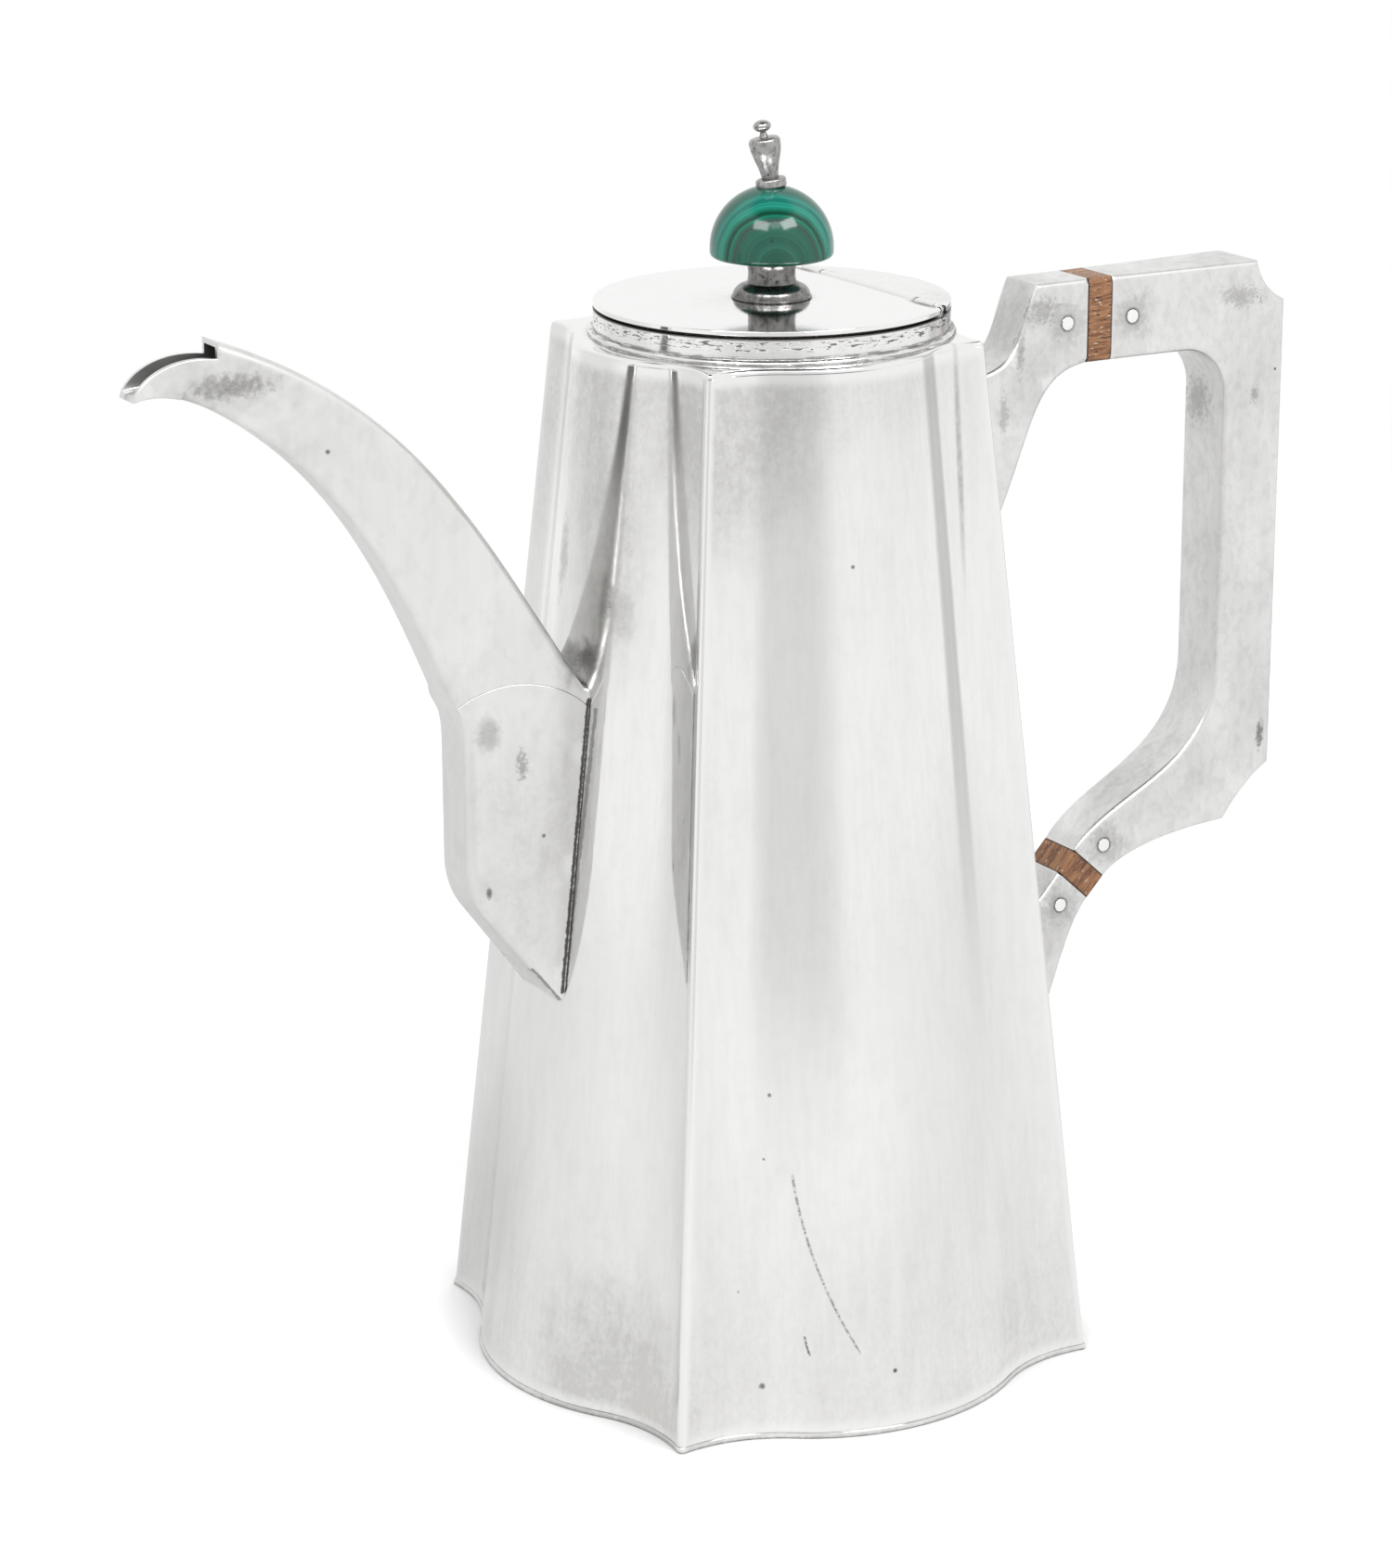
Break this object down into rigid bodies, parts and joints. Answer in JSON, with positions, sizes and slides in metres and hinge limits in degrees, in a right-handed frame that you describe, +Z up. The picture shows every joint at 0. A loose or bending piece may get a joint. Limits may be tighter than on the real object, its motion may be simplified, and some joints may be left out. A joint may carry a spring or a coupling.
{
  "type": "coffee pot",
  "caption": "Tall fluted silver coffee pot with a flat-sided spout, a hinged lid with a stone knob, and a hollow handle on wooden insulators.",
  "frame": {"origin": "middle of the underside of the floor plate", "axes": "+X towards the handle, -X towards the spout, +Z up, Y along the lid's hinge"},
  "size_m": [0.2574, 0.1234, 0.2511],
  "materials": {
    "silver_body": "worn polished silver with light tarnish",
    "silver_trim": "polished silver, tarnished in its corners",
    "silver_hidden": "dull tarnished silver",
    "malachite": "polished banded green stone",
    "hardwood": "oiled brown wood"
  },
  "bodies": {
    "pot": {"floor_plate": "silver_body", "spout_side": "silver_body", "handle_side": "silver_body", "near_side": "silver_body", "far_side": "silver_body", "shoulder_plate": "silver_body", "collar_ring": "silver_body", "collar_bead": "silver_trim", "rear_deck": "silver_body", "fixed_knuckles": "silver_trim", "hinge_pin": "silver_trim", "spout_base": "silver_body", "spout_neck": "silver_body", "upper_socket": "silver_body", "lower_socket": "silver_body", "upper_insulator": "hardwood", "lower_insulator": "hardwood", "handle_grip": "silver_body", "tenon_pins": "silver_trim", "vent_plug": "silver_trim"},
    "lid": {"lid_plate": "silver_body", "lid_bezel": "silver_hidden", "lid_knuckle": "silver_trim", "knob_foot": "silver_trim", "knob_stone": "malachite", "knob_finial": "silver_trim", "knob_washer": "silver_hidden", "knob_nut": "silver_hidden"}
  },
  "joints": [
    {"name": "lid_hinge", "type": "hinge", "parent": "pot", "child": "lid", "pos_m": [0.0244, 0, 0.21535], "axis": [0, 1, 0], "range_deg": [0, 100]}
  ]
}
